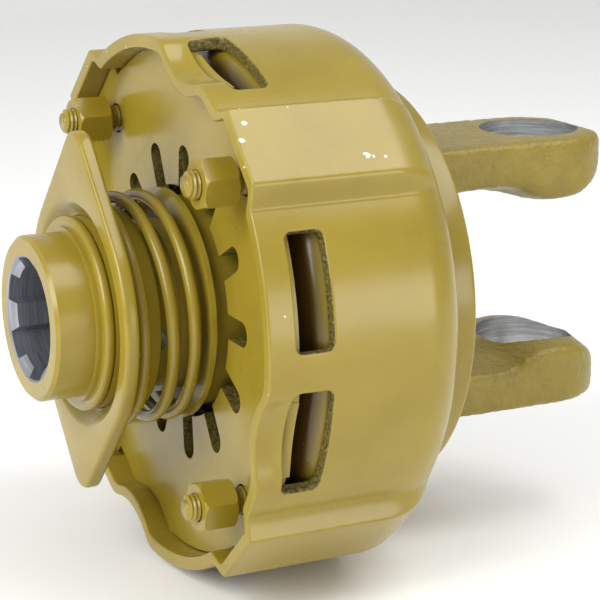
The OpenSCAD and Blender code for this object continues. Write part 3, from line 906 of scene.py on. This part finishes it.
def bored_forging(eye_x, tip_x, root_x):
    """Forging: plan outline carried up, crowned gap, tip corners and neck cut away, relaxed, then bored."""
    tip_arc = arc_points((eye_x - EAR_TIP_INSET, 0.0), EAR_R, -90.0, 90.0, 33)
    forging = prism("forging", [(root_x, -EAR_R)] + tip_arc + [(root_x, EAR_R)], EAR_Z, "xy")
    cutters = []
    for tilt in (-1.0, -0.5, 0.0, 0.5, 1.0):
        cutters.append(prism("gap", gap_outline(eye_x, tip_x), 2 * EAR_R, "xz"))
        cutters[-1].rotation_euler = (math.radians(EAR_CROWN) * tilt, 0.0, 0.0)
    top, start, end = EAR_Z + OVER_TOP, root_x - OVER_END, tip_x + OVER_END
    for side in (-1.0, 1.0):
        tip = [(tip_x - TIP_RUN, side * top), (end, side * top), (end, side * (EAR_Z - TIP_DROP))]
        cutters.append(prism("tip_corner", tip, 2 * EAR_R, "xz"))
        neck = [(start, side * top), (start, side * NECK_Z), (root_x + NECK_RUN, side * top)]
        cutters.append(prism("neck_slope", neck, 2 * EAR_R, "xz"))
    drill = prism("drill", arc_points((eye_x, 0.0), CROSS_R, 0.0, 357.0, 120), EAR_Z + OVER_DRILL, "xy")
    for cutter in cutters:
        cut_away(forging, cutter)
    relax_in_die(forging)
    cut_away(forging, drill)
    bored = settled_mesh(forging)
    for scratch in cutters + [drill, forging]:
        bpy.data.objects.remove(scratch)
    return bored


def forged_yoke():
    """Forged yoke: a turned flange, its profile carried round the axis, with the bored forging set on it."""
    high = low_high("flange_yoke")[1]
    eye_x = high[0] - EAR_R
    front, rear, flange_r, edge = REAR_X + FLANGE_PLAY, REAR_X + FLANGE_T, high[1], FLANGE_ROUND
    arc = np.radians(np.linspace(0.0, 90.0, 6))
    profile = [(AXIS_R, front)]
    profile += [(flange_r - edge + edge * math.sin(t), front + edge - edge * math.cos(t)) for t in arc]
    profile += [(flange_r - edge + edge * math.cos(t), rear - edge + edge * math.sin(t)) for t in arc]
    profile += [(AXIS_R, rear)]
    spin = np.linspace(0.0, 2 * np.pi, 256, endpoint=False)
    rows = [np.stack([np.full(spin.size, x), r * np.cos(spin), r * np.sin(spin)], -1) for r, x in profile]
    piece = surface("forged_yoke", np.concatenate(rows), capped_faces(len(profile), spin.size),
                    "housing_group", "flange_yoke", [PAINT, FORGED_PAINT, EAR_STEEL])
    turned = len(piece.data.polygons)
    forging = bored_forging(eye_x, high[0], rear - ROOT_DEPTH)
    work = bmesh.new()
    work.from_mesh(piece.data)
    work.from_mesh(forging)
    work.to_mesh(piece.data)
    work.free()
    centres, normals = face_arrays(piece.data)
    forged = np.arange(len(piece.data.polygons)) >= turned
    reach = np.hypot(centres[:, 0] - eye_x, centres[:, 1])
    paint_faces(piece, forged, 1)
    paint_faces(piece, forged & (reach < EYE_REACH) & (np.abs(normals[:, 2]) < EYE_NORMAL), 2)
    piece.data.polygons.foreach_set("use_smooth", np.full(len(piece.data.polygons), True))
    piece.data.set_sharp_from_angle(angle=math.radians(FORGED_SHARP))
    return piece


housing_shell()
collar_plate()
spring_wire()
hub_body()
disc_spring_plate()
rounded_pressure_plate()
forged_yoke()
for number in (1, 2, 3, 4):
    threaded_stud(number)
    relief_nut(number)

KEPT_FINISHES = {
    "stop_ring": PAINT, "spring_seat": PAINT, "snap_ring": PAINT,
    "driver_disc_front": DISC_STEEL, "driver_disc_rear": DISC_STEEL, "intermediate_disc": DISC_STEEL,
    "backing_plate": DISC_STEEL, "lock_sleeve": PAINT, "hub_bush": BUSH_BRONZE,
}
KEPT_FINISHES.update({f"friction_disc_{k}": LINING for k in (1, 2, 3, 4)})
KEPT_FINISHES.update({f"lock_ball_{k}": BALL_STEEL for k in (1, 2, 3)})
for node, finish in KEPT_FINISHES.items():
    NODES[node].data.materials.clear()
    NODES[node].data.materials.append(finish)


# Floor, light and camera, in metres; each softbox has a name, a place, a size and a power

FLOOR_GAP = 0.001
FLOOR_Z = cad_bounds[0][2] - FLOOR_GAP
FLOOR_HALF = 3.0
FLOOR_BEHIND = 1.2
FLOOR_BEND = 0.8
LIGHT_AIM = (0.08, 0.0, 0.0)
SOFTBOXES = (
    ("key", (-0.9, -0.35, 0.6), 0.8, 13.0),
    ("side", (0.62, -1.04, 0.05), 0.45, 2.6),
    ("top", (0.6, -0.36, 1.02), 0.8, 8.0),
)
SURROUND = 0.55
CAMERA_PLACE = (-0.1961, -0.5667, 0.1597)
CAMERA_AIM = (0.0850, 0.0, -0.0043)
CAMERA_LENS = 132.0
CAMERA_SENSOR = 36.0
CAMERA_FAR = 20.0


def plain_floor():
    """Pale floor that bends up into a backdrop: a flat strip carried into a quarter arc behind the object."""
    turn = np.radians(np.linspace(0.0, 90.0, 24))
    bend = FLOOR_BEHIND + FLOOR_BEND * np.sin(turn)
    depth = np.concatenate([[-FLOOR_HALF], bend, [FLOOR_BEHIND + FLOOR_BEND]])
    height = np.concatenate([[0.0], FLOOR_BEND - FLOOR_BEND * np.cos(turn), [FLOOR_HALF]]) + FLOOR_Z
    points = [(across, d, h) for d, h in zip(depth, height) for across in (-FLOOR_HALF, FLOOR_HALF)]
    mesh = bpy.data.meshes.new("pale_floor")
    mesh.from_pydata(points, [], grid_faces(depth.size, 2).tolist())
    floor = bpy.data.objects.new("pale_floor", mesh)
    bpy.context.scene.collection.objects.link(floor)
    made, _, shader, _ = new_material("matt_white_paper")
    shader.inputs["Base Color"].default_value = linear("#FBFBFA")
    shader.inputs["Roughness"].default_value = 0.9
    mesh.materials.append(made)


def soft_light(name, place, size, power):
    """Square softbox that faces the object."""
    data = bpy.data.lights.new(name, "AREA")
    data.size = size
    data.energy = power
    lamp = bpy.data.objects.new(name, data)
    lamp.location = place
    lamp.rotation_euler = (Vector(LIGHT_AIM) - Vector(place)).to_track_quat("-Z", "Y").to_euler()
    bpy.context.scene.collection.objects.link(lamp)


def studio():
    """Even white surround with a high key from the front left, a side fill and a top light."""
    world = bpy.data.worlds.new("white_surround")
    world.use_nodes = True
    world.node_tree.nodes["Background"].inputs["Color"].default_value = (1.0, 1.0, 1.0, 1.0)
    world.node_tree.nodes["Background"].inputs["Strength"].default_value = SURROUND
    bpy.context.scene.world = world
    for softbox in SOFTBOXES:
        soft_light(*softbox)
    bpy.context.scene.view_settings.view_transform = "Standard"


def photo_camera():
    """Camera of the photograph's view, fitted to the part's own axis and circles."""
    data = bpy.data.cameras.new("photo_view")
    data.sensor_width = CAMERA_SENSOR
    data.lens = CAMERA_LENS
    data.clip_end = CAMERA_FAR
    camera = bpy.data.objects.new("photo_view", data)
    camera.location = CAMERA_PLACE
    aim = Vector(CAMERA_AIM) - Vector(CAMERA_PLACE)
    camera.rotation_euler = aim.to_track_quat("-Z", "Y").to_euler()
    bpy.context.scene.collection.objects.link(camera)
    bpy.context.scene.camera = camera


plain_floor()
studio()
photo_camera()
